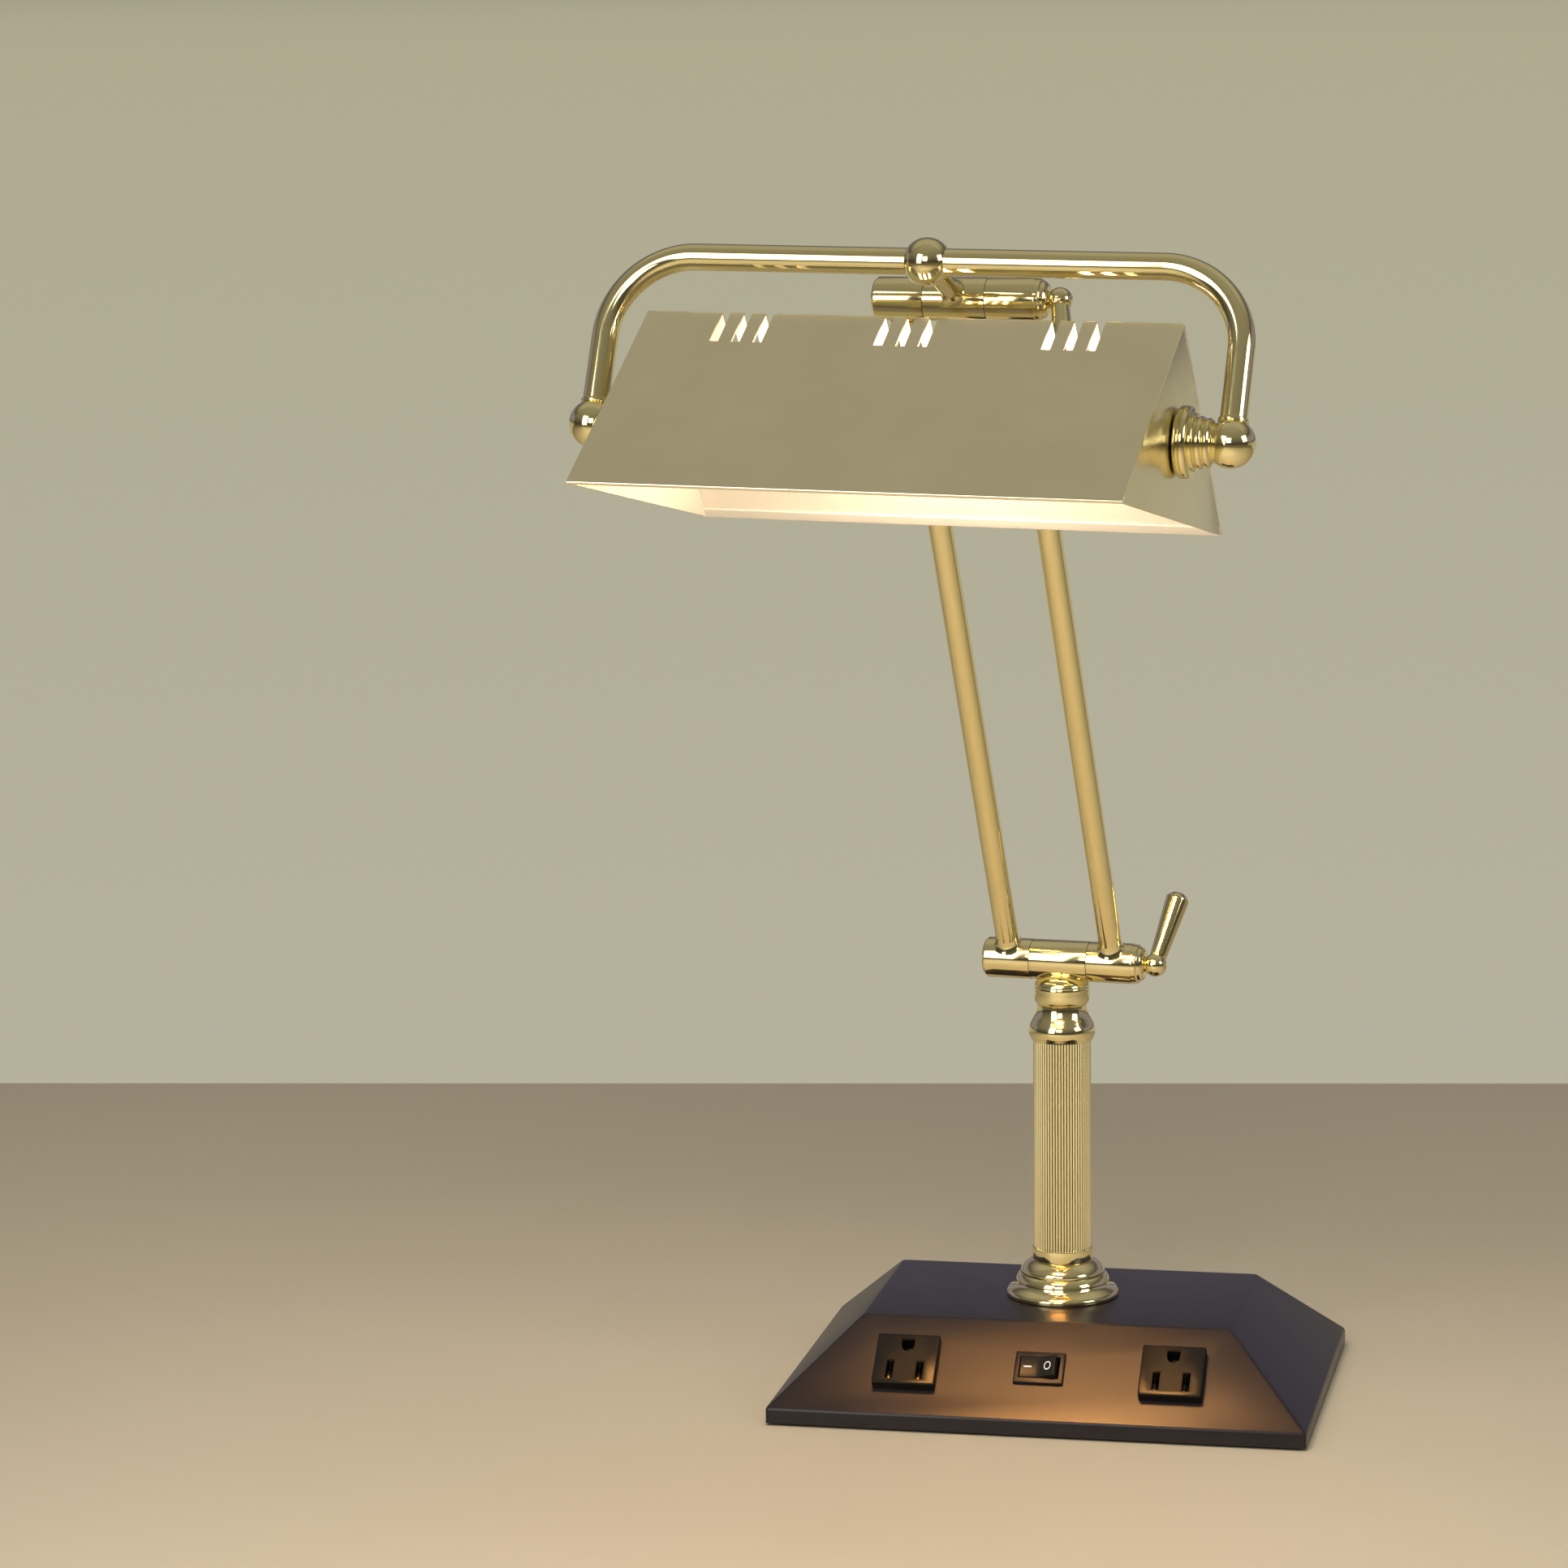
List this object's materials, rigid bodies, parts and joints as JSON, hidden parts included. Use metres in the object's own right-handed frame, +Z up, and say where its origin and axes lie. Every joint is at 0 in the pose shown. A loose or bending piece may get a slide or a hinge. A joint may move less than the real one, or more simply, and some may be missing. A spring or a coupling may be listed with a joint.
{
  "type": "desk lamp",
  "caption": "Banker desk lamp with a folded brass shade in a tilting yoke, a twin-rod arm with clamping levers, a reeded column and a black base with outlets and a rocker switch.",
  "frame": {"origin": "middle of the felt underside, on the surface the lamp stands on", "axes": "+X to the lamp's right hand seen from the front, -Y to its front where the outlets are, +Z up along the column"},
  "size_m": [0.2751, 0.3984, 0.5059],
  "materials": {
    "black_paint": "satin powder coat",
    "zinc_steel": "zinc plated",
    "cast_iron": "as cast",
    "felt": "pressed felt",
    "polished_brass": "polished and lacquered",
    "spring_brass": "bright rolled",
    "outlet_plastic": "gloss moulded",
    "switch_plastic": "fine spark texture",
    "bushing_plastic": "moulded",
    "washer_fibre": "fibre",
    "connector_plastic": "moulded",
    "lead_insulation": "extruded",
    "holder_plastic": "glazed",
    "bulb_screw": "bright",
    "frosted_glass": "frosted"
  },
  "bodies": {
    "base": {"base_shell": "black_paint", "base_plate": "black_paint", "shell_lugs": "zinc_steel", "base_screws": "zinc_steel", "felt_pad": "felt", "counterweight": "cast_iron", "switch_frame": "switch_plastic", "cord_bushing": "bushing_plastic", "wire_connectors": "connector_plastic", "outlet_left": "outlet_plastic", "outlet_right": "outlet_plastic", "outlet_contacts": "spring_brass", "lamp_pipe": "zinc_steel", "pipe_washer": "zinc_steel", "pipe_nut": "zinc_steel", "column_leads": "lead_insulation", "column_foot": "polished_brass", "column_collar": "polished_brass", "column_tube": "polished_brass", "column_cap": "polished_brass", "swivel_ring": "polished_brass"},
    "rocker": {"switch_rocker": "switch_plastic"},
    "head": {"swivel_saddle": "polished_brass", "swivel_stem": "zinc_steel", "swivel_nut": "zinc_steel", "lower_centre_sleeve": "polished_brass"},
    "arm": {"seam_washers": "washer_fibre", "clamp_bolts": "zinc_steel", "left_end_caps": "polished_brass", "right_end_caps": "polished_brass", "lower_sleeve_left": "polished_brass", "lower_sleeve_right": "polished_brass", "upper_sleeve_left": "polished_brass", "upper_sleeve_right": "polished_brass", "arm_rod_left": "polished_brass", "arm_rod_right": "polished_brass"},
    "lower_lever": {"lower_lever_ball": "polished_brass", "lower_lever_grip": "polished_brass"},
    "upper_lever": {"upper_lever_ball": "polished_brass", "upper_lever_grip": "polished_brass"},
    "yoke": {"upper_centre_sleeve": "polished_brass", "yoke_stub": "polished_brass", "yoke_ball": "polished_brass", "yoke_tube_left": "polished_brass", "yoke_tube_right": "polished_brass", "yoke_ferrules": "polished_brass", "end_ball_left": "polished_brass", "end_ball_right": "polished_brass", "swivel_hub_left": "polished_brass", "swivel_hub_right": "polished_brass", "swivel_studs": "zinc_steel", "swivel_springs": "zinc_steel", "swivel_end_nuts": "zinc_steel", "lamp_holder": "holder_plastic", "bulb_cap": "bulb_screw", "bulb_glass": "frosted_glass"},
    "shade": {"shade_shell": "polished_brass", "end_plate_left": "polished_brass", "end_plate_right": "polished_brass"}
  },
  "joints": [
    {"name": "head_swivel", "type": "hinge", "parent": "base", "child": "head", "pos_m": [0, 0, 0.1766], "axis": [0, 0, 1], "range_deg": [-84, 96]},
    {"name": "arm_tilt", "type": "hinge", "parent": "head", "child": "arm", "pos_m": [0, 0, 0.1875], "axis": [0.9939, -0.1104, 0], "range_deg": [-27, 30]},
    {"name": "yoke_tilt", "type": "hinge", "parent": "arm", "child": "yoke", "pos_m": [-0.01687, -0.15182, 0.47968], "axis": [0.9939, -0.1104, 0], "range_deg": [-55, 10]},
    {"name": "shade_tilt", "type": "hinge", "parent": "yoke", "child": "shade", "pos_m": [-0.02579, -0.2193, 0.43318], "axis": [0.9938, -0.1104, -0.0129], "range_deg": [-60, 14]},
    {"name": "lower_lever_turn", "type": "hinge", "parent": "arm", "child": "lower_lever", "pos_m": [0, 0, 0.1875], "axis": [0.9939, -0.1104, 0], "range_deg": [-60, 60]},
    {"name": "upper_lever_turn", "type": "hinge", "parent": "arm", "child": "upper_lever", "pos_m": [-0.01687, -0.15182, 0.47968], "axis": [0.9939, -0.1104, 0], "range_deg": [-10, 60]},
    {"name": "rocker_press", "type": "hinge", "parent": "base", "child": "rocker", "pos_m": [0, -0.06425, 0.02418], "axis": [0, 0.7472, 0.6646], "range_deg": [0, 20]}
  ]
}
